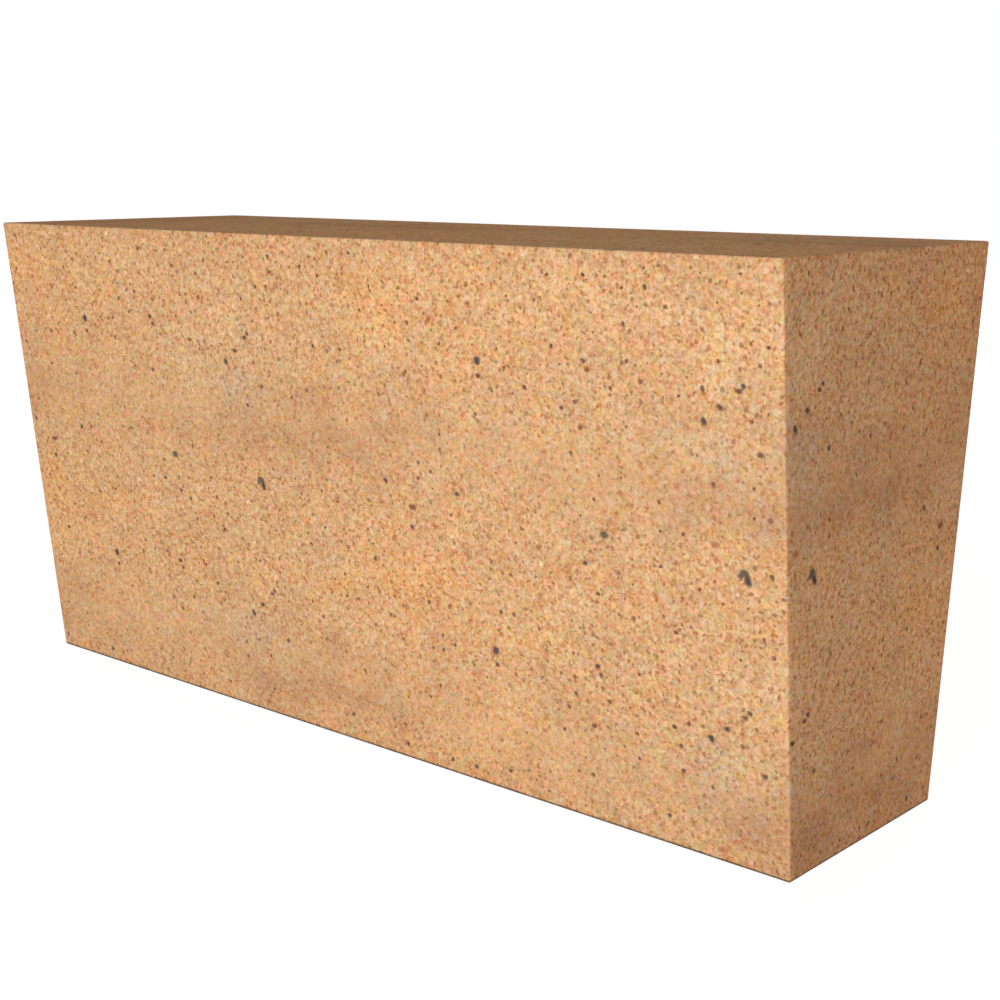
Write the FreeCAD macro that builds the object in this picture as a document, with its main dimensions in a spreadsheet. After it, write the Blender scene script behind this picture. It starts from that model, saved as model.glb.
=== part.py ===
"""Refractory arch brick: one pressed and fired fireclay block, modelled as a parametric document.

The brick stands on its narrow long face, as it would be set down. Its two big faces lean
outwards from there, so that it is a wedge in section: a row of such bricks, side by side with
thin joints, turns into a vault or a furnace roof, with the narrow faces inside, towards the
heat, and the wide faces outside.

Sizes are in millimetres. The origin is the middle of the narrow face. X runs along the brick's
length, Y through its thickness, and Z from the narrow face up to the wide face.
"""

import FreeCAD
import Part
import os
import Sketcher

PARTS_FOLDER = "parts"

# The driving dimensions: (alias, value in millimetres, what it is).
SIZES = (
    ("brick_length", 230.0, "length, the same at both long faces"),
    ("brick_width", 114.0, "from the narrow long face to the wide one, along the radius of the vault"),
    ("narrow_thickness", 54.0, "thickness at the narrow face, inside the vault"),
    ("wide_thickness", 76.0, "thickness at the wide face, outside the vault"),
    ("arris_radius", 0.5, "rounding that the mould leaves on every edge"),
)

# The lines of the section in drawing order, round it from the narrow face.
OUTLINE = ("narrow_face", "back_flank", "wide_face", "front_flank")


def make_size_sheet(doc):
    """The spreadsheet of driving dimensions, one row each: alias, value and meaning."""
    sheet = doc.addObject("Spreadsheet::Sheet", "Sizes")
    for row, (alias, value, meaning) in enumerate(SIZES, start=1):
        sheet.set(f"A{row}", alias)
        sheet.set(f"B{row}", str(value))
        sheet.set(f"C{row}", meaning)
        sheet.setAlias(f"B{row}", alias)
    doc.recompute()
    return sheet


def origin_plane(body, role):
    """One of the body's own origin planes, found by its role."""
    return next(feature for feature in body.Origin.OriginFeatures if feature.Role == role)


def line_start(name):
    """The first point of a line of the outline, as a sketch constraint names it."""
    return OUTLINE.index(name), 1


def line_end(name):
    """The last point of a line of the outline, as a sketch constraint names it."""
    return OUTLINE.index(name), 2


def sketch_origin():
    """The sketch's own origin point, as a constraint names it."""
    return -1, 1


def sketch_vertical():
    """The sketch's own vertical axis, as a constraint names it."""
    return -2


def bind_size(sketch, alias, kind, first, second, value):
    """Adds a dimension between two points of the sketch and ties it to the sheet."""
    index = sketch.addConstraint(Sketcher.Constraint(kind, *first, *second, value))
    sketch.renameConstraint(index, alias)
    sketch.setExpression(f"Constraints.{alias}", f"Sizes.{alias}")


def draw_wedge_section(body, sheet):
    """The brick's section across its length: a wedge, even about the middle, wide side up."""
    sketch = body.newObject("Sketcher::SketchObject", "WedgeSection")
    sketch.AttachmentSupport = [(origin_plane(body, "YZ_Plane"), "")]
    sketch.MapMode = "FlatFace"

    half_narrow = sheet.narrow_thickness / 2
    half_wide = sheet.wide_thickness / 2
    corners = [
        FreeCAD.Vector(-half_narrow, 0, 0),
        FreeCAD.Vector(half_narrow, 0, 0),
        FreeCAD.Vector(half_wide, sheet.brick_width, 0),
        FreeCAD.Vector(-half_wide, sheet.brick_width, 0),
    ]
    for corner, following in zip(corners, corners[1:] + corners[:1]):
        sketch.addGeometry(Part.LineSegment(corner, following), False)

    for line, following in zip(OUTLINE, OUTLINE[1:] + OUTLINE[:1]):
        joined = Sketcher.Constraint("Coincident", *line_end(line), *line_start(following))
        sketch.addConstraint(joined)
    level = Sketcher.Constraint("Horizontal", OUTLINE.index("narrow_face"))
    narrow_centred = Sketcher.Constraint(
        "Symmetric", *line_start("narrow_face"), *line_end("narrow_face"), *sketch_origin()
    )
    wide_centred = Sketcher.Constraint(
        "Symmetric", *line_start("wide_face"), *line_end("wide_face"), sketch_vertical()
    )
    sketch.addConstraint([level, narrow_centred, wide_centred])

    narrow_left, narrow_right = line_start("narrow_face"), line_end("narrow_face")
    wide_right, wide_left = line_start("wide_face"), line_end("wide_face")
    bind_size(
        sketch, "narrow_thickness", "DistanceX", narrow_left, narrow_right, sheet.narrow_thickness
    )
    bind_size(sketch, "wide_thickness", "DistanceX", wide_left, wide_right, sheet.wide_thickness)
    bind_size(sketch, "brick_width", "DistanceY", narrow_right, wide_right, sheet.brick_width)
    return sketch


def press_block(body, section):
    """The wedge section run along the brick's length, half to each side of the middle."""
    block = body.newObject("PartDesign::Pad", "Block")
    block.Profile = section
    block.SideType = "Symmetric"
    block.setExpression("Length", "Sizes.brick_length")
    section.Visibility = False
    return block


def round_arrises(body, block):
    """The small rounding on all twelve edges of the block."""
    arrises = body.newObject("PartDesign::Fillet", "Arrises")
    arrises.Base = (block, [])
    arrises.UseAllEdges = True
    arrises.setExpression("Radius", "Sizes.arris_radius")
    return arrises


def make_firebrick(doc, sheet):
    """The whole brick, which is one piece."""
    body = doc.addObject("PartDesign::Body", "Firebrick")
    body.Label = "firebrick"
    section = draw_wedge_section(body, sheet)
    block = press_block(body, section)
    doc.recompute()
    round_arrises(body, block)
    return body


def check_features(doc):
    """Stops the build if any feature failed to compute."""
    failed = [obj.Name for obj in doc.Objects if {"Invalid", "Error"} & set(obj.State)]
    if failed:
        raise RuntimeError(f"features that failed: {', '.join(failed)}")


def check_shape(piece):
    """Stops the build unless the piece is one valid closed solid."""
    shape = piece.Shape
    if shape.isNull() or not shape.isValid():
        raise RuntimeError(f"{piece.Label} has no valid shape")
    if len(shape.Solids) != 1 or not shape.isClosed():
        raise RuntimeError(f"{piece.Label} is not one closed solid")


def export_piece(piece):
    """Writes the piece to a STEP file named after its label."""
    path = os.path.join(PARTS_FOLDER, f"{piece.Label}.step")
    piece.Shape.exportStep(path)
    box = piece.Shape.BoundBox
    print(
        f"{path}: {box.XLength:.2f} x {box.YLength:.2f} x {box.ZLength:.2f} mm, "
        f"{piece.Shape.Volume / 1000:.1f} cm3, {len(piece.Shape.Faces)} faces"
    )


def main():
    doc = FreeCAD.newDocument("ArchFirebrick")
    sheet = make_size_sheet(doc)
    pieces = [make_firebrick(doc, sheet)]
    doc.recompute()
    check_features(doc)
    for piece in pieces:
        check_shape(piece)
    os.makedirs(PARTS_FOLDER, exist_ok=True)
    for piece in pieces:
        export_piece(piece)


main()
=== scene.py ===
"""A refractory arch brick of dense fireclay, dressed for its picture.

The pressed block is worked up from the solid's own sizes: rounded arrises, a fine grid, a faint relief,
open pores and iron flecks. Its fired clay is one procedural material. All lengths are in metres.
"""

import math
import random

import bmesh
import bpy
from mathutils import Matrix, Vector, kdtree, noise


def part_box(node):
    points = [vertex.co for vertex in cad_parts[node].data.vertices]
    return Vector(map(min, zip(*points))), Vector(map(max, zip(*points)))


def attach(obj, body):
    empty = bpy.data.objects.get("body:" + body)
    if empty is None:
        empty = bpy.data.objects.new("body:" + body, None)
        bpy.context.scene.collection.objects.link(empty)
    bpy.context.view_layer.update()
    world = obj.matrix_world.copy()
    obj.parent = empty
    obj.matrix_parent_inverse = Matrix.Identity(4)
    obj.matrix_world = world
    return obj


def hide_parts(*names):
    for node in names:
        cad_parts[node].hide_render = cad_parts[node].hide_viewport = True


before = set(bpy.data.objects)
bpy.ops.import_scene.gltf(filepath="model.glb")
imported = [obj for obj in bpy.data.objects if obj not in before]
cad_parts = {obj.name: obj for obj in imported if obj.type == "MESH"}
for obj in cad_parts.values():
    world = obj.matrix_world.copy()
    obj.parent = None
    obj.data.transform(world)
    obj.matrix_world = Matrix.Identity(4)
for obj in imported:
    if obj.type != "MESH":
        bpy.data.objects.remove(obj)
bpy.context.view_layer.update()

MM = 0.001
SOLID = "firebrick"
BODY = "root"

# The block: its arrises, and the cells of its grid
ARRIS = 0.5 * MM
ARRIS_STEPS = 3
CELL = 1.7 * MM
LONG_EDGE = 2.0 * MM
# How far a point may stray to each side, as a share of the shortest edge at it
STRAY = 0.24
STRAY_SEED = 11
# Above the first cosine two ways count as aligned, and above the second the faces at a point as flat
ALIGNED, FLAT = 0.9, 0.9999
SHARP_ANGLE = math.radians(38)

# The relief, all of it pressed into the solid's faces
SETTLING = 0.05 * MM
SETTLING_SPAN = 30 * MM
GRAIN_RISE = 0.018 * MM
GRAIN_SPAN = 2.4 * MM
# The fine grain is this many times finer than the coarse one, and this share of it deep
FINER, FINE_SHARE = 2.3, 0.6
SKIN = 0.03 * MM

# The pores, each opened in one cell of at least this area
PORE_COUNT = 2550
PORE_ROOM = 0.6 * CELL * CELL
PORE_PLACE_SEED, PORE_SHAPE_SEED = 23, 37
# How much rarer they are in the calm band, and on the other faces than on the ends
CALM_LOSS, LONG_LOSS = 0.6, 0.45
PORE_RADII = (0.23 * MM, 0.58 * MM)
PORE_DEPTHS = (0.16 * MM, 0.42 * MM)
# A higher power makes large pores rarer
PORE_POWER = 1.6
# Pores past this share of the way from the smallest radius to the largest have eight corners, others four
ROUND_SHARE = 0.33
# A corner made halfway along a cell's edge moves out this far, so that no face beside the pore is a sliver
CORNER_SHIFT = 0.07 * CELL
RIM_INSET, FLOOR_INSET = 0.25 * CELL, 0.1 * CELL
# How wide the floor is, as a share of the rim
FLOOR_SHARE = 0.6
# The chance in a pore's depth, turn, stretch, corner angles and corner distances
DEPTH_RANGE, TURN_RANGE, STRETCH_RANGE = (0.8, 1.2), (-0.3, 0.3), (1.0, 1.25)
ANGLE_RANGE, REACH_RANGE = (-0.12, 0.12), (0.88, 1.12)
# The pores' mask at the rim, and at the least on the floor; darker towards the floor, it paints shade into the
# pit along with the dark grain's colour
PORE_RIM, PORE_FAINTEST = 0.55, 0.62
# A floor's place on the ramp of the pores' dark tones, partly dark grain and partly painted shade: a part by
# chance, and a part by the size of the pore
TINT_RANGE, TINT_BY_SIZE = (0, 0.7), 0.45

# The iron flecks recur at this distance along the brick and down it, at most so many times
RUN_ALONG = 130.1 * MM
RUN_DOWN = 60.15 * MM
RUNS_ALONG, RUNS_DOWN = 4, 3
# How much earlier, along and down, the runs of four faces start, so that no two faces look alike
BACK_LEAD = (47 * MM, 23 * MM)
LEFT_LEAD = (60 * MM, 11 * MM)
WIDE_LEAD = (20 * MM, 17 * MM)
NARROW_LEAD = (70 * MM, 40 * MM)
# The tints of the flecks, as places on the ramp of their colours
SLATE, GREY, UMBER = 0.0, 0.15, 0.30
MAROON, RUSSET, RUST = 0.44, 0.53, 0.64
TAWNY, BUFF, CREAM = 0.73, 0.8, 1.0
# How far along and how far down, length, width, all in millimetres, turn from level in degrees, and tint
FLECKS = (
    (91.15, 55.65, 2.3, 1.8, 15, GREY),
    (90.5, 56.2, 1.9, 1.1, -28, GREY),
    (91.8, 56.85, 2.8, 1.55, 62, SLATE),
    (30.4, 22.55, 2.05, 1.8, 95, SLATE),
    (60.1, 53.3, 2.3, 1.6, 5, GREY),
    (9.4, 55.1, 2.6, 1.4, -5, RUSSET),
    (83.3, 29.05, 1.9, 1.3, 55, SLATE),
    (56.9, 20.4, 1.45, 1.25, 0, UMBER),
    (86.85, 26.25, 1.7, 1.15, 5, UMBER),
    (90.7, 23.05, 1.6, 1.0, 10, MAROON),
    (85.15, 51.3, 2.3, 1.5, -5, TAWNY),
    (2.05, 50.4, 1.5, 1.15, 75, MAROON),
    (94.85, 33.75, 1.4, 1.15, -20, GREY),
    (8.85, 59.55, 1.35, 1.2, 55, UMBER),
    (30.5, 25.55, 1.4, 1.1, 30, MAROON),
    (55.15, 59.75, 1.35, 1.0, 5, SLATE),
    (22.5, 50.55, 1.5, 1.3, 0, GREY),
    (83.6, 13.0, 1.8, 0.8, 45, RUST),
    (57.7, 22.05, 1.4, 1.2, 5, RUSSET),
    (91.75, 22.05, 1.3, 1.0, 30, SLATE),
    (75.9, 9.55, 1.15, 1.0, 0, MAROON),
    (67.0, 19.75, 1.05, 0.9, 0, MAROON),
    (18.1, 15.25, 1.8, 1.0, -45, RUST),
    (55.5, 33.1, 1.5, 1.2, 0, RUSSET),
    (72.95, 57.4, 1.1, 0.9, 0, MAROON),
    (106.1, 4.0, 2.0, 1.6, 0, BUFF),
    (24.3, 2.65, 2.8, 1.9, 25, BUFF),
    (20.2, 59.9, 1.3, 0.9, -35, CREAM),
    (20.5, 2.0, 0.9, 0.8, 0, CREAM),
    (14.2, 5.4, 1.8, 0.7, 15, CREAM),
    (44.1, 1.5, 1.6, 0.9, -30, CREAM),
)
FLECK_DEPTH = 0.10 * MM
# A fleck's mask fades out at this many times its half length
FLECK_HALO = 1.5
# No fleck has its middle closer to an arris than this
FLECK_CLEARANCE = 1.2 * ARRIS
# How far past a fleck's end the cells are halved, the first time and the second
REFINE_MARGINS = (0.6 * CELL, 0.15 * CELL)

# The clouds of the firing, with the same runs: along, down, half length and half height in millimetres,
# how brown and how warm
CLOUDS = (
    (98.0, 45.5, 27.0, 5.2, 0.85, -0.10),
    (111.0, 33.5, 9.5, 3.6, 0.75, 0.0),
    (120.0, 45.0, 7.0, 4.0, 0.45, -0.15),
    (0.8, 47.5, 4.0, 4.0, 0.55, 0.0),
    (8.0, 38.0, 11.0, 6.0, 0.45, 0.05),
    (85.0, 34.0, 5.0, 4.2, -0.10, -1.10),
    (67.0, 32.5, 6.0, 4.0, -0.20, -0.40),
    (88.0, 36.0, 28.0, 13.0, 0.10, -0.25),
    (14.0, 13.0, 26.0, 13.0, -0.10, 0.45),
    (3.0, 11.0, 8.0, 6.0, -0.10, 0.40),
    (87.0, 17.0, 4.0, 4.0, -0.50, -0.20),
    (52.0, 7.0, 9.0, 2.5, -0.35, -0.10),
)
# Noise of one seed bends the outlines of the clouds
CLOUD_BEND = 3 * MM
CLOUD_BEND_SPAN = 12 * MM
CLOUD_SEED = 7
# A band where the grain lies calmer, with its middle at this distance down each run
CALM_DOWN = 41 * MM
CALM_HALF = 9 * MM
# Small patches come on top by chance, the warm ones in other places than the brown ones
PATCH_SPAN = 8 * MM
PATCH_BROWN = 0.45
PATCH_WARM = 0.5
WARM_SHIFT = Vector((9, 4, 7))
# Painted shade on the foot's arris, which faces down, in a line up to this height, darkest on the two long
# sides
FOOT_LINE = 0.66 * MM
FOOT_FADE = 0.42 * MM
LONG_LINE_SHADE, END_LINE_SHADE = 0.85, 0.60
# Towards the wide face the clay is slightly browner, and towards the foot it is darkened as painted shade, over
# these heights
FOOT_SHADE_REACH, WIDE_RIM = 5 * MM, 8 * MM
LONG_FOOT_SHADE, END_FOOT_SHADE, WIDE_BROWN = 0.35, 0.30, 0.22
# The ends are paler in a band round this height
PALE_HEIGHT, PALE_HALF = 30 * MM, 20 * MM
PALE_SHARE = 0.27
# The long sides are paler and cooler below this height
COOL_HEIGHT = 44 * MM
COOL_PALE, COOL_SHARE = 0.14, 0.11
# The wide face is browner over this length from its left end, partly its own burnt tone and partly painted
# shade
LEFT_REACH, LEFT_BROWN_AND_SHADE = 30 * MM, 0.7

# The map, with this gap between its parts
MAP_NAME = "OFBake"
MAP_GAP = 2 * MM

# The clay's grain under the finger
BUMP_STRENGTH, BUMP_DEPTH = 0.25, 0.12 * MM
# How much of the clay's colour the iron and the pores cover; the pores' cover is partly painted shade
IRON_COVER, PORE_COVER = 0.92, 0.77
# How rough the clay is, and how much smoother the iron
ROUGHNESS, IRON_GLOSS = 0.92, 0.3

# The floor's half width, how much of its look is its own glow, and how strong that is
FLOOR_HALF = 1.5
FLOOR_GLOW_SHARE, FLOOR_GLOW = 0.85, 1.12
# The even light of the room, and the point that the lamps are aimed at
ROOM_LIGHT = 0.135
AIM = Vector((0, 0, 57 * MM))
WHITE = (1, 1, 1)
# Name, way to it from the brick's middle, distance and size in metres, power in watts, and colour
LAMPS = (
    ("key", (0.30, -0.93, 0.20), 1.0, 0.6, 8.5, WHITE),
    ("side", (1.0, 0.0, 0.05), 1.6, 0.9, 4.66, (1.0, 0.70, 0.575)),
    ("rear", (-0.30, 0.95, 0.16), 1.6, 0.9, 19.6, (1.0, 0.80, 0.78)),
    ("left", (-1.0, 0.25, 0.10), 1.6, 0.9, 7.0, WHITE),
)


def part_way(low, high, share):
    return low + (high - low) * share


def fading(distance, reach, power=2):
    """1 at no distance, and falling off smoothly about the reach."""
    return math.exp(-(distance / reach) ** power)


def tone(red, green, blue):
    """A colour given in the usual 0 to 255 steps, as the renderer's linear values."""
    steps = (red / 255, green / 255, blue / 255)
    return tuple(s / 12.92 if s <= 0.04045 else ((s + 0.055) / 1.055) ** 2.4 for s in steps) + (1.0,)


class Brick:
    """The solid's own sizes, read off the frame."""

    def __init__(self):
        self.low, self.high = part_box(SOLID)
        self.length = self.high.x - self.low.x
        self.height = self.high.z - self.low.z
        flank = max(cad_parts[SOLID].data.polygons, key=lambda face: face.area)
        self.lean = -flank.normal.z / abs(flank.normal.y)
        self.foot = abs(flank.center.y) - (flank.center.z - self.low.z) * self.lean

    def half_thickness(self, height):
        return self.foot + (height - self.low.z) * self.lean


def sharp_block(brick):
    """The wedge with its corners still sharp."""
    block = bmesh.new()
    bmesh.ops.create_cube(block, size=1.0)
    for corner in block.verts:
        x, y, z = corner.co
        corner.co.x = brick.high.x if x > 0 else brick.low.x
        corner.co.z = brick.high.z if z > 0 else brick.low.z
        corner.co.y = math.copysign(brick.half_thickness(corner.co.z), y)
    return block


def rule_faces(block):
    """Divides every long edge into cells, one direction after another, so that each face is a grid."""
    for way in (Vector((1, 0, 0)), Vector((0, 0, 1)), Vector((0, 1, 0))):
        long = [
            edge for edge in block.edges
            if edge.calc_length() > LONG_EDGE
            and abs((edge.verts[1].co - edge.verts[0].co).normalized().dot(way)) > ALIGNED
        ]
        cuts = round(max(edge.calc_length() for edge in long) / CELL) - 1
        bmesh.ops.subdivide_edgering(block, edges=long, interp_mode="LINEAR", cuts=cuts)


def press_block(brick):
    block = sharp_block(brick)
    bmesh.ops.bevel(
        block, geom=block.edges[:], offset=ARRIS, offset_type="OFFSET", segments=ARRIS_STEPS,
        profile=0.5, affect="EDGES", material=-1,
    )
    rule_faces(block)
    return block


def faces_of(brick):
    """For each face, the point where its runs of flecks start, and the ways along, down and out."""
    slope = Vector((0, brick.lean, 1)).normalized()
    half, top, foot = brick.length / 2, brick.high.z, brick.low.z
    thick = brick.half_thickness(top)
    lengthways, across = Vector((1, 0, 0)), Vector((0, 1, 0))
    up = Vector((0, 0, 1))
    front_start = Vector((-half, -thick, top))
    back_start = Vector((-half - BACK_LEAD[0], thick, top + BACK_LEAD[1]))
    right_start = Vector((half, -half, top))
    left_start = Vector((-half, -half - LEFT_LEAD[0], top + LEFT_LEAD[1]))
    wide_start = Vector((-half - WIDE_LEAD[0], thick + WIDE_LEAD[1], top))
    narrow_start = Vector((-half - NARROW_LEAD[0], thick + NARROW_LEAD[1], foot))
    return (
        (front_start, lengthways, Vector((0, brick.lean, -1)), Vector((0, -slope.z, -slope.y))),
        (back_start, lengthways, Vector((0, -brick.lean, -1)), Vector((0, slope.z, -slope.y))),
        (right_start, across, -up, lengthways),
        (left_start, across, -up, -lengthways),
        (wide_start, lengthways, -across, up),
        (narrow_start, lengthways, -across, -up),
    )


def face_holds(brick, point, out):
    """Whether a point of a face's plane is on the brick, clear of the arrises."""
    within_length = abs(point.x) < brick.length / 2 - FLECK_CLEARANCE
    within_height = brick.low.z + FLECK_CLEARANCE < point.z < brick.high.z - FLECK_CLEARANCE
    within_thickness = abs(point.y) < brick.half_thickness(point.z) - FLECK_CLEARANCE
    return (
        (abs(out.x) > 0.5 or within_length)
        and (abs(out.z) > 0.5 or within_height)
        and (abs(out.y) > 0.5 or within_thickness)
    )


def spread_over_faces(brick, marks):
    """Every place where a mark falls on the brick: point, way along, way down, way out, and the mark."""
    for start, along, down, out in faces_of(brick):
        for mark in marks:
            for column in range(RUNS_ALONG):
                for row in range(RUNS_DOWN):
                    shift_along = along * (mark[0] * MM + column * RUN_ALONG)
                    shift_down = down * (mark[1] * MM + row * RUN_DOWN)
                    point = start + shift_along + shift_down
                    if face_holds(brick, point, out):
                        yield point, along, down.normalized(), out, mark


def tree_of(block):
    """A tree of the block's points by number, for finding those near a place."""
    block.verts.ensure_lookup_table()
    block.verts.index_update()
    tree = kdtree.KDTree(len(block.verts))
    for vertex in block.verts:
        tree.insert(vertex.co, vertex.index)
    tree.balance()
    return tree


def refine_round(block, places):
    """Halves the cells round each place, twice, so that a fleck's outline has points enough."""
    for margin in REFINE_MARGINS:
        tree = tree_of(block)
        close = set()
        for point, along, down, out, mark in places:
            reach = mark[2] / 2 * MM + margin
            for _, index, _ in tree.find_range(point, reach):
                for face in block.verts[index].link_faces:
                    close.update(face.edges)
        # In the block's own order, which is the same each time
        edges = [edge for edge in block.edges if edge in close]
        bmesh.ops.subdivide_edges(block, edges=edges, cuts=1, use_grid_fill=True)


def is_flat(vertex):
    normal = vertex.normal
    return all(face.normal.dot(normal) > FLAT for face in vertex.link_faces)


def stray_points(block):
    """Moves each point of the flat faces a little within its face, so that no grid shows in the relief."""
    chance = random.Random(STRAY_SEED)
    moves = []
    for vertex in block.verts:
        if is_flat(vertex):
            reach = STRAY * min(edge.calc_length() for edge in vertex.link_edges)
            side = vertex.normal.orthogonal().normalized()
            other = vertex.normal.cross(side)
            step = side * chance.uniform(-reach, reach) + other * chance.uniform(-reach, reach)
            moves.append((vertex, step))
    for vertex, step in moves:
        vertex.co += step


def press_relief(block):
    """Sinks every point by a slow settling of the face and by the rise and fall of the grain."""
    sinks = []
    for vertex in block.verts:
        settled = 0.5 + 0.5 * noise.noise(vertex.co / SETTLING_SPAN)
        grain = 0.5 + 0.5 * noise.noise(vertex.co / GRAIN_SPAN)
        fine = 0.5 + 0.5 * noise.noise(vertex.co / GRAIN_SPAN * FINER)
        depth = SKIN + SETTLING * settled + GRAIN_RISE * (grain + FINE_SHARE * fine)
        sinks.append((vertex, vertex.normal * depth))
    for vertex, sink in sinks:
        vertex.co -= sink


def closeness(offset, along, down, mark):
    """How near a point is to a fleck: 1 in its inner half, a half on its outline, 0 past its halo."""
    turn = math.radians(mark[4])
    u = offset.dot(along)
    v = offset.dot(down)
    length = (u * math.cos(turn) + v * math.sin(turn)) / (mark[2] / 2 * MM)
    width = (v * math.cos(turn) - u * math.sin(turn)) / (mark[3] / 2 * MM)
    return max(0.0, min(1.0, FLECK_HALO - math.hypot(length, width)))


def lay_flecks(block, places):
    """Marks the iron flecks on the points round them, and sinks all but the pale ones slightly."""
    iron = block.verts.layers.float["iron"]
    tint = block.verts.layers.float["iron_tint"]
    tree = tree_of(block)
    for point, along, down, out, mark in places:
        reach = mark[2] / 2 * MM * FLECK_HALO + CELL
        for _, index, _ in tree.find_range(point, reach):
            vertex = block.verts[index]
            near = closeness(vertex.co - point, along, down, mark)
            if near >= vertex[iron]:
                vertex[iron] = near
                vertex[tint] = mark[5]
                vertex.co -= out * FLECK_DEPTH * near * (mark[5] < BUFF)


def folded(distance, run):
    """A distance taken to the nearest repeat of the run."""
    return (distance + run / 2) % run - run / 2


def lay_clouds(block, brick):
    """Marks how brown and how warm each point was burnt, with painted shade added to the brown tone towards the
    foot and, in part, towards the wide face's left end; how calm its grain is; and the painted shade of its
    foot line.
    """
    browning = block.verts.layers.float["browning"]
    warming = block.verts.layers.float["warming"]
    calm = block.verts.layers.float["calm"]
    foot_line_shade_layer = block.verts.layers.float["foot_stain"]
    faces = faces_of(brick)
    noise.seed_set(CLOUD_SEED)
    for vertex in block.verts:
        start, along, down, out = max(faces, key=lambda face: vertex.normal.dot(face[3]))
        offset = vertex.co - start + noise.noise_vector(vertex.co / CLOUD_BEND_SPAN) * CLOUD_BEND
        brown = PATCH_BROWN * noise.noise(vertex.co / PATCH_SPAN)
        warm = PATCH_WARM * noise.noise(vertex.co / PATCH_SPAN + WARM_SHIFT)
        for place_along, place_down, half_length, half_height, cloud_brown, cloud_warm in CLOUDS:
            u = folded(offset.dot(along) - place_along * MM, RUN_ALONG) / (half_length * MM)
            v = folded(offset.dot(down) - place_down * MM, RUN_DOWN) / (half_height * MM)
            share = math.exp(-(u * u + v * v))
            brown += cloud_brown * share
            warm += cloud_warm * share
        on_end = abs(out.x) > abs(out.y)
        foot_shade = END_FOOT_SHADE if on_end else LONG_FOOT_SHADE
        rise = vertex.co.z - brick.low.z
        # Painted shade towards the foot, carried in the brown tone
        brown += foot_shade * fading(rise, FOOT_SHADE_REACH)
        if on_end:
            brown -= PALE_SHARE * fading(rise - PALE_HEIGHT, PALE_HALF)
        else:
            brown -= COOL_PALE * fading(rise, COOL_HEIGHT, 4)
            warm -= COOL_SHARE * fading(rise, COOL_HEIGHT, 4)
        if abs(out.z) < 0.5:
            brown += WIDE_BROWN * fading(brick.high.z - vertex.co.z, WIDE_RIM)
        # Partly the clay's own tone, partly painted shade towards the wide face's left end
        if out.z > 0.5:
            brown += LEFT_BROWN_AND_SHADE * fading(vertex.co.x - brick.low.x, LEFT_REACH)
        vertex[calm] = fading(folded(offset.dot(down) - CALM_DOWN, RUN_DOWN), CALM_HALF)
        # Painted shade for the foot line, stronger on the long sides
        vertex[foot_line_shade_layer] = END_LINE_SHADE if on_end else LONG_LINE_SHADE
        vertex[browning] = brown
        vertex[warming] = warm


def pore_sites(block):
    """Faces for the pores: quads of the flat faces that share no point, and that no fleck touches."""
    chance = random.Random(PORE_PLACE_SEED)
    iron = block.verts.layers.float["iron"]
    calm = block.verts.layers.float["calm"]
    candidates = [
        face for face in block.faces
        if len(face.verts) == 4 and face.calc_area() > PORE_ROOM
        and all(is_flat(vertex) and vertex[iron] == 0.0 for vertex in face.verts)
    ]
    chance.shuffle(candidates)
    taken = set()
    sites = []
    for face in candidates:
        if len(sites) == PORE_COUNT:
            break
        on_end = abs(face.normal.x) > ALIGNED
        calmness = max(vertex[calm] for vertex in face.verts)
        likely = (1 - CALM_LOSS * calmness) * (1 if on_end else 1 - LONG_LOSS)
        if chance.random() < likely and not taken.intersection(face.verts):
            taken.update(face.verts)
            sites.append(face)
    return sites


def rings_from(face, mark):
    """The corners of an inset face, from the one nearest to the mark on, and those of the ring round it."""
    corners = list(face.verts)
    first = min(range(len(corners)), key=lambda k: (corners[k].co - mark).length)
    corners = corners[first:] + corners[:first]
    ring = []
    for vertex in corners:
        others = [edge.other_vert(vertex) for edge in vertex.link_edges]
        ring.append(next(other for other in others if other not in corners))
    return corners, ring


def open_pores(block, sites):
    """Opens each pore as an irregular pit with a rim, a wall and a floor, and marks its mask and its tint; the
    mask darkens the floor with dark grain colour together with painted shade.
    """
    chance = random.Random(PORE_SHAPE_SEED)
    pore = block.verts.layers.float["pore"]
    tint = block.faces.layers.float["pore_tint"]
    spots = [(face.calc_center_median(), face.normal.copy()) for face in sites]
    shares = [chance.random() ** PORE_POWER for _ in sites]
    block.edges.index_update()
    for face, share, (centre, _) in zip(sites, shares, spots):
        if share > ROUND_SHARE:
            for edge in sorted(face.edges, key=lambda edge: edge.index):
                middle = bmesh.utils.edge_split(edge, edge.verts[0], 0.5)[1]
                middle.co += (middle.co - centre).normalized() * CORNER_SHIFT
    bmesh.ops.inset_individual(block, faces=sites, thickness=RIM_INSET, depth=0)
    walls = bmesh.ops.inset_individual(block, faces=sites, thickness=FLOOR_INSET, depth=0)["faces"]
    for face, share, (centre, normal) in zip(sites, shares, spots):
        radius = part_way(*PORE_RADII, share)
        depth = part_way(*PORE_DEPTHS, share) * chance.uniform(*DEPTH_RANGE)
        side = normal.orthogonal().normalized()
        other = normal.cross(side)
        floor, rim = rings_from(face, centre + side)
        first = (rim[0].co - centre).normalized()
        turn = math.atan2(first.dot(other), first.dot(side)) + chance.uniform(*TURN_RANGE)
        darkness = chance.uniform(PORE_FAINTEST, 1.0)
        lean = chance.uniform(0, math.pi)
        stretch = chance.uniform(*STRETCH_RANGE)
        for k, (edge_point, floor_point) in enumerate(zip(rim, floor)):
            angle = turn + k * 2 * math.pi / len(rim) + chance.uniform(*ANGLE_RANGE)
            reach = radius * chance.uniform(*REACH_RANGE) * stretch ** math.cos(2 * (angle - lean))
            across = side * math.cos(angle) + other * math.sin(angle)
            edge_point.co = centre + across * reach
            floor_point.co = centre + across * reach * FLOOR_SHARE - normal * depth
            edge_point[pore] = PORE_RIM
            floor_point[pore] = darkness
        face[tint] = min(1.0, chance.uniform(*TINT_RANGE) + TINT_BY_SIZE * share)
    for face in walls:
        face[tint] = chance.random()


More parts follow.
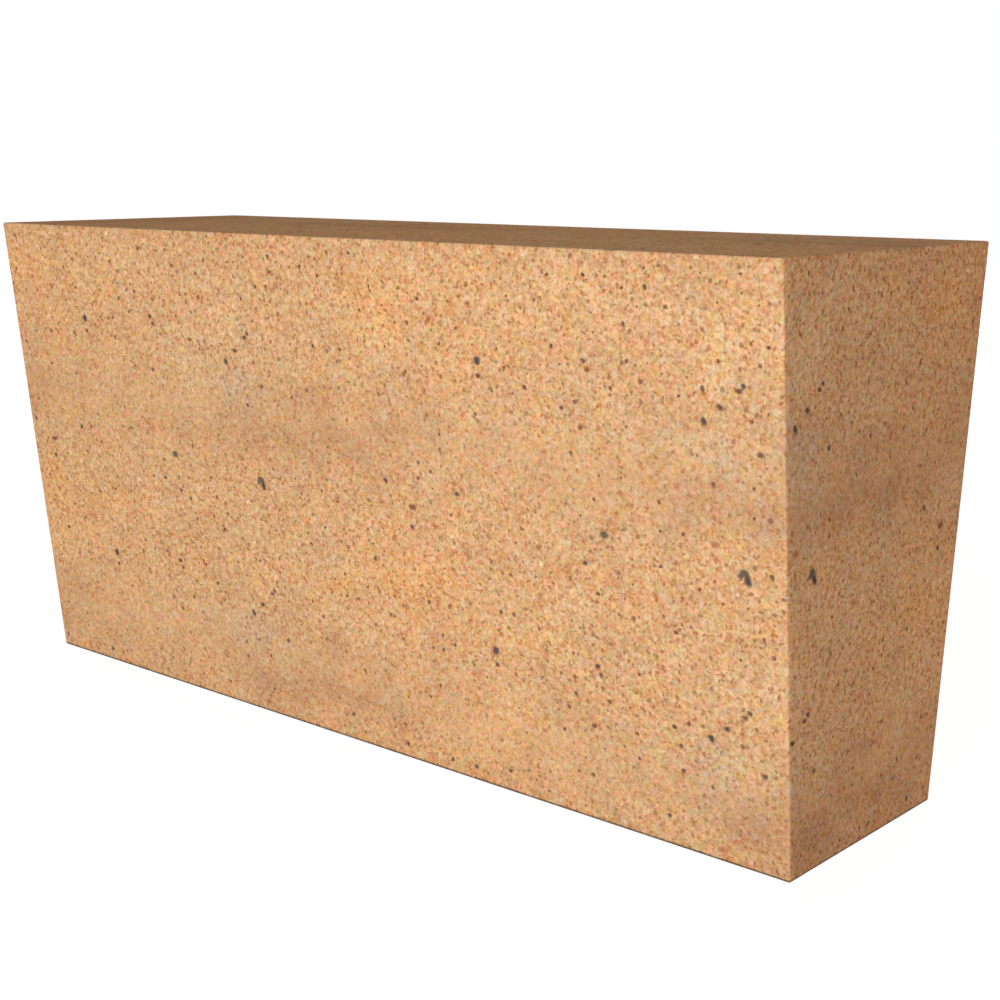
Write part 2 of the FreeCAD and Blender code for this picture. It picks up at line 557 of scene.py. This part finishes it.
def lay_map(block, brick):
    """Lays the six faces side by side on one map, by the way each small face looks."""
    sheet = block.loops.layers.uv.new(MAP_NAME)
    step = brick.height + 2 * MAP_GAP
    beside = brick.length + MAP_GAP
    wide = 2 * brick.half_thickness(brick.high.z)
    places = {
        "front": (0.0, 0.0),
        "back": (0.0, step),
        "top": (0.0, 2 * step),
        "bottom": (0.0, 2 * step + wide + MAP_GAP),
        "right end": (beside, 0.0),
        "left end": (beside, step),
    }
    broad = brick.length + wide + 3 * MAP_GAP
    tall = 2 * step + 2 * wide + 3 * MAP_GAP
    for face in block.faces:
        n = face.normal
        if abs(n.x) > max(abs(n.y), abs(n.z)):
            name = "right end" if n.x > 0 else "left end"
        elif abs(n.y) > abs(n.z):
            name = "front" if n.y < 0 else "back"
        else:
            name = "top" if n.z > 0 else "bottom"
        for loop in face.loops:
            x, y, z = loop.vert.co
            u = y + wide / 2 if "end" in name else x + brick.length / 2
            v = y + wide / 2 if name in ("top", "bottom") else z - brick.low.z
            place = places[name]
            loop[sheet].uv = ((place[0] + u + MAP_GAP / 2) / broad, (place[1] + v + MAP_GAP / 2) / tall)


class Value:
    """A number on its way through a material, so that sums on it are written as plain sums."""

    def __init__(self, finish, socket):
        self.finish = finish
        self.socket = socket

    def __add__(self, other):
        return self.finish.sum("ADD", self, other)

    __radd__ = __add__

    def __sub__(self, other):
        return self.finish.sum("SUBTRACT", self, other)

    def __rsub__(self, other):
        return self.finish.sum("SUBTRACT", other, self)

    def __mul__(self, other):
        return self.finish.sum("MULTIPLY", self, other)

    __rmul__ = __mul__


class Finish:
    """A material or a world in the making. Its node method adds any node by kind, settings and sockets."""

    def __init__(self, owner):
        owner.use_nodes = True
        self.tree = owner.node_tree
        self.tree.nodes.clear()

    def node(self, kind, settings, sockets, output=0):
        made = self.tree.nodes.new(kind)
        for name, setting in settings.items():
            if name == "stops":
                self.set_stops(made.color_ramp, setting)
            else:
                setattr(made, name, setting)
        for name, value in sockets.items():
            if isinstance(value, Value):
                self.tree.links.new(value.socket, made.inputs[name])
            else:
                made.inputs[name].default_value = value
        return Value(self, made.outputs[output]) if made.outputs else made

    @staticmethod
    def set_stops(ramp, stops):
        while len(ramp.elements) < len(stops):
            ramp.elements.new(1.0)
        for element, (place, colour) in zip(ramp.elements, stops):
            element.position = place
            element.color = colour

    def sum(self, operation, first, second):
        return self.node("ShaderNodeMath", {"operation": operation}, {0: first, 1: second})

    def clamp(self, value):
        return self.node("ShaderNodeClamp", {}, {"Value": value})

    def between(self, value, start, end):
        """0 up to the start, 1 from the end on, and a smooth rise from one to the other."""
        settings = {"interpolation_type": "SMOOTHSTEP"}
        sockets = {"Value": value, "From Min": start, "From Max": end}
        return self.node("ShaderNodeMapRange", settings, sockets)

    def over(self, share, under, top):
        """One colour laid over another by a share."""
        settings = {"data_type": "RGBA"}
        return self.node("ShaderNodeMix", settings, {0: share, 6: under, 7: top}, output=2)

    def shade(self, share, colour, by):
        """A colour multiplied by another, by a share."""
        settings = {"data_type": "RGBA", "blend_type": "MULTIPLY"}
        return self.node("ShaderNodeMix", settings, {0: share, 6: colour, 7: by}, output=2)

    def ramp(self, stops, value):
        return self.node("ShaderNodeValToRGB", {"stops": stops}, {"Fac": value})

    def attribute(self, name):
        return self.node("ShaderNodeAttribute", {"attribute_name": name}, {}, output=2)

    def place(self):
        """The place on the brick, in millimetres."""
        seen = self.node("ShaderNodeTexCoord", {}, {}, output=3)
        return self.scale(seen, 1 / MM)

    def scale(self, place, by):
        return self.node("ShaderNodeVectorMath", {"operation": "SCALE"}, {0: place, "Scale": by})

    def shifted(self, place, by):
        return self.node("ShaderNodeVectorMath", {"operation": "ADD"}, {0: place, 1: by})

    def stirred(self, place, span, reach):
        """The place, moved about by soft noise, so that grains and specks get uneven outlines."""
        noise_at = {"Vector": place, "Scale": 1 / span, "Detail": 0.0}
        drift = self.node("ShaderNodeTexNoise", {}, noise_at, output=1)
        return self.shifted(place, self.scale(self.shifted(drift, (-0.5, -0.5, -0.5)), reach))

    def mottle(self, place, span, detail, shift=0.0):
        """Soft noise whose patches are about that many millimetres across."""
        moved = self.shifted(place, (shift, shift, shift))
        sockets = {"Vector": moved, "Scale": 1 / span, "Detail": detail, "Roughness": 0.5}
        return self.node("ShaderNodeTexNoise", {}, sockets)

    def nearest_grain(self, place, span):
        """How far off the nearest grain's middle is, in millimetres, and three chance numbers of its own."""
        distance = self.node("ShaderNodeTexVoronoi", {}, {"Vector": place, "Scale": 1 / span})
        colour = Value(self, distance.socket.node.outputs["Color"])
        chance = self.node("ShaderNodeSeparateColor", {}, {"Color": colour})
        outputs = chance.socket.node.outputs
        return distance * span, chance, Value(self, outputs["Green"]), Value(self, outputs["Blue"])

    def specks(self, grain, share_from, share_to, smallest, largest, softness=0.14):
        """Specks at the middles of those grains whose first chance number lies between the two shares."""
        distance, chance, _, size = grain
        reach = part_way(smallest, largest, size)
        inside = 1 - self.between(distance - reach, -softness, softness)
        past_first = self.step_at(chance, share_from)
        past_second = self.step_at(chance, share_to)
        return inside * (past_first - past_second)

    def step_at(self, value, limit):
        """0 below the limit and 1 above it, with a narrow rise between."""
        return self.between(value, limit - 0.005, limit + 0.005)


def fired_clay():
    """The fired body: a matrix of grains of many tones, specks, clouds, iron flecks and pores, with painted
    shade in the pores, towards the foot and along the foot's arris.
    """
    material = bpy.data.materials.new("fired_clay")
    clay = Finish(material)
    even = clay.place()
    place = clay.stirred(even, 0.9, 0.8)

    # The matrix wanders between four tones
    grey, orange = tone(209, 171, 126), tone(229, 163, 107)
    olive, pink = tone(215, 170, 106), tone(224, 163, 125)
    warmth = clay.clamp(0.5 + 4.0 * (clay.mottle(place, 1.55, 0.2) - 0.5))
    blush = clay.clamp(0.5 + 4.0 * (clay.mottle(place, 1.55, 0.2, 31.0) - 0.5))
    colour = clay.over(0.5, clay.over(warmth, grey, orange), clay.over(blush, olive, pink))

    # Grains of the crushed grog, each with a depth of its own
    _, chance, _, _ = clay.nearest_grain(place, 0.46)
    fine = clay.mottle(place, 0.55, 1.0, 57.0)
    broad = clay.mottle(place, 1.2, 1.0, 83.0)
    lively = 1.08 - 0.32 * clay.attribute("calm")
    uneven = 0.46 * (chance - 0.5) + 0.86 * (fine - 0.5) + 1.12 * (broad - 0.5)
    depth = clay.clamp(0.555 + lively * uneven)
    deep, light = (0.77, 0.62, 0.53, 1.0), (1.155, 1.425, 1.65, 1.0)
    colour = clay.shade(1.0, colour, clay.over(depth, deep, light))

    # Specks among them, from the palest to the darkest
    speck = clay.nearest_grain(place, 0.98)
    kind = speck[2]
    pale = clay.specks(speck, 0.80, 1.10, 0.24, 0.54)
    chalk = clay.over(kind, tone(240, 212, 158), tone(226, 204, 176))
    colour = clay.over(pale * lively * 0.5, colour, chalk)
    brown = clay.specks(speck, -0.10, 0.55, 0.15, 0.41, 0.19)
    russet = clay.over(kind, tone(158, 104, 66), tone(166, 82, 46))
    colour = clay.over(brown * lively * (0.36 + 0.34 * kind), colour, russet)
    dark = clay.specks(speck, 0.56, 0.68, 0.22, 0.50, 0.18)
    umber = clay.over(kind, tone(122, 66, 42), tone(98, 68, 54))
    colour = clay.over(dark * lively * 0.54, colour, umber)

    # Larger grains of grog, some of them pale and cool and some russet
    grog = clay.nearest_grain(place, 2.8)
    kind = grog[2]
    cool_grog = clay.specks(grog, -0.10, 0.16, 0.28, 0.66, 0.30)
    ash = clay.over(kind, tone(192, 170, 146), tone(228, 196, 168))
    colour = clay.over(cool_grog * (0.30 + 0.70 * fine), colour, ash)
    red_grog = clay.specks(grog, 0.78, 1.10, 0.22, 0.60, 0.24)
    brick_red = clay.over(kind, tone(206, 104, 62), tone(172, 92, 74))
    colour = clay.over(red_grog * (0.25 + 0.50 * fine), colour, brick_red)

    # Clouds of the firing, with painted shade towards the foot and, in part, towards the wide face's left end,
    # all carried in the brown tone
    warmed = clay.clamp(0.5 + 0.5 * clay.attribute("warming"))
    cool, warm = (0.92, 1.02, 1.16, 1.0), (1.08, 0.98, 0.86, 1.0)
    colour = clay.shade(1.0, colour, clay.over(warmed, cool, warm))
    browning = clay.attribute("browning")
    least_burnt, most_burnt_and_shaded = (1.07, 1.09, 1.09, 1.0), (0.82, 0.76, 0.77, 1.0)
    burn_and_shade = clay.over(clay.clamp(0.3 + 0.7 * browning), least_burnt, most_burnt_and_shaded)
    colour = clay.shade(1.0, colour, burn_and_shade)

    # Iron flecks, and open pores whose dark floors are partly dark grain colour and partly painted shade
    stray = fine - 0.5
    iron = clay.between(clay.attribute("iron") + 0.9 * stray, 0.25, 0.95)
    tint_stops = [
        (SLATE, tone(58, 58, 72)), (GREY, tone(100, 92, 76)), (UMBER, tone(82, 60, 56)),
        (MAROON, tone(102, 56, 60)), (RUST, tone(160, 98, 74)), (BUFF, tone(198, 136, 96)),
        (CREAM, tone(246, 222, 180)),
    ]
    tint = clay.ramp(tint_stops, clay.attribute("iron_tint") + 0.45 * stray)
    colour = clay.over(iron * IRON_COVER, colour, tint)
    pore = clay.between(clay.attribute("pore") + 0.4 * stray, 0.40, 0.90)
    # The pores' dark tones: partly dark grains, partly painted shade in the pits
    pore_grain_and_shade_stops = [
        (0.0, tone(112, 74, 46)), (0.25, tone(148, 84, 54)), (0.45, tone(100, 62, 48)),
        (0.62, tone(96, 50, 54)), (0.8, tone(78, 64, 74)), (1.0, tone(60, 54, 68)),
    ]
    pore_grain_and_shade = clay.ramp(pore_grain_and_shade_stops, clay.attribute("pore_tint"))
    colour = clay.over(pore * PORE_COVER, colour, pore_grain_and_shade)

    # Painted shade: the dark line along the foot, where the lowest arris faces down
    height = clay.node("ShaderNodeSeparateXYZ", {}, {"Vector": even}, output=2)
    line_from, line_to = (FOOT_LINE - FOOT_FADE / 2) / MM, (FOOT_LINE + FOOT_FADE / 2) / MM
    foot = 1 - clay.between(height + 0.4 * stray, line_from, line_to)
    colour = clay.shade(foot * clay.attribute("foot_stain"), colour, (0.14, 0.15, 0.18, 1.0))

    # The grain that the finger feels
    felt = clay.mottle(even, 0.5, 1.0, 5.0)
    relief = {"Strength": BUMP_STRENGTH, "Distance": BUMP_DEPTH, "Height": felt}
    bump = clay.node("ShaderNodeBump", {}, relief)
    rough = ROUGHNESS - iron * IRON_GLOSS
    sockets = {"Base Color": colour, "Roughness": rough, "Specular IOR Level": 0.0, "Normal": bump}
    shader = clay.node("ShaderNodeBsdfPrincipled", {}, sockets)
    clay.node("ShaderNodeOutputMaterial", {}, {"Surface": shader})
    return material


def dress_brick():
    """Makes the brick that stands for the solid."""
    brick = Brick()
    block = press_block(brick)
    for name in ("iron", "iron_tint", "browning", "warming", "calm", "foot_stain", "pore"):
        block.verts.layers.float.new(name)
    block.faces.layers.float.new("pore_tint")
    flecks = list(spread_over_faces(brick, FLECKS))
    refine_round(block, flecks)
    block.normal_update()
    stray_points(block)
    press_relief(block)
    lay_flecks(block, flecks)
    lay_clouds(block, brick)
    open_pores(block, pore_sites(block))
    block.normal_update()
    lay_map(block, brick)
    mesh = bpy.data.meshes.new("brick")
    block.to_mesh(mesh)
    block.free()
    mesh.shade_smooth()
    mesh.set_sharp_from_angle(angle=SHARP_ANGLE)
    mesh.materials.append(fired_clay())
    piece = bpy.data.objects.new("brick", mesh)
    bpy.context.scene.collection.objects.link(piece)
    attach(piece, BODY)
    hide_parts(SOLID)


def in_sight(finish):
    """1 where the camera looks at a surface, or sees it in gloss or through glass, and 0 for its light."""
    ray = finish.node("ShaderNodeLightPath", {}, {})
    paths = ray.socket.node.outputs
    seen = Value(finish, paths["Is Camera Ray"])
    glossy = Value(finish, paths["Is Glossy Ray"])
    through = Value(finish, paths["Is Transmission Ray"])
    return finish.clamp(seen + glossy + through)


def lay_floor():
    """A wide pale floor. It is almost white to the eye and still takes the brick's shadow."""
    ground = bmesh.new()
    bmesh.ops.create_grid(ground, x_segments=1, y_segments=1, size=FLOOR_HALF)
    mesh = bpy.data.meshes.new("floor")
    ground.to_mesh(mesh)
    ground.free()
    material = bpy.data.materials.new("pale_floor")
    paint = Finish(material)
    matt = paint.node("ShaderNodeBsdfDiffuse", {}, {"Color": tone(236, 236, 236)})
    glow = paint.node("ShaderNodeEmission", {}, {"Color": (1, 1, 1, 1), "Strength": FLOOR_GLOW})
    share = in_sight(paint) * FLOOR_GLOW_SHARE
    mixed = paint.node("ShaderNodeMixShader", {}, {0: share, 1: matt, 2: glow})
    paint.node("ShaderNodeOutputMaterial", {}, {"Surface": mixed})
    mesh.materials.append(material)
    floor = bpy.data.objects.new("floor", mesh)
    bpy.context.scene.collection.objects.link(floor)


def light_room():
    """An even, dim room light that the camera sees as white."""
    world = bpy.data.worlds.new("studio")
    bpy.context.scene.world = world
    air = Finish(world)
    seen = in_sight(air)
    level = seen + (1 - seen) * ROOM_LIGHT
    glow = air.node("ShaderNodeBackground", {}, {"Color": (1, 1, 1, 1), "Strength": level})
    air.node("ShaderNodeOutputWorld", {}, {"Surface": glow})


def hang_lamp(name, direction, distance, size, power, colour):
    """A square soft lamp that is aimed at the brick's middle. The camera doesn't see the lamp."""
    lamp = bpy.data.lights.new(name, "AREA")
    lamp.size = size
    lamp.energy = power
    lamp.color = colour
    holder = bpy.data.objects.new(name, lamp)
    way = Vector(direction).normalized()
    holder.location = AIM + way * distance
    holder.rotation_euler = way.to_track_quat("Z", "Y").to_euler()
    holder.visible_camera = False
    bpy.context.scene.collection.objects.link(holder)


def set_camera():
    """The camera of the photograph, from the fit to the brick's seven corners."""
    stand = Vector((258.93, -270.87, 129.52)) * MM
    look = Vector((-0.64825, 0.72704, -0.22624))
    camera = bpy.data.cameras.new("camera")
    camera.sensor_width = 36.0
    camera.lens = 58.87
    camera.shift_x = 0.0090
    camera.shift_y = 0.0393
    camera.clip_start = 0.01
    holder = bpy.data.objects.new("camera", camera)
    holder.location = stand
    holder.rotation_euler = look.to_track_quat("-Z", "Y").to_euler()
    bpy.context.scene.collection.objects.link(holder)
    bpy.context.scene.camera = holder


dress_brick()
lay_floor()
light_room()
for lamp in LAMPS:
    hang_lamp(*lamp)
set_camera()
bpy.context.scene.view_settings.view_transform = "Standard"
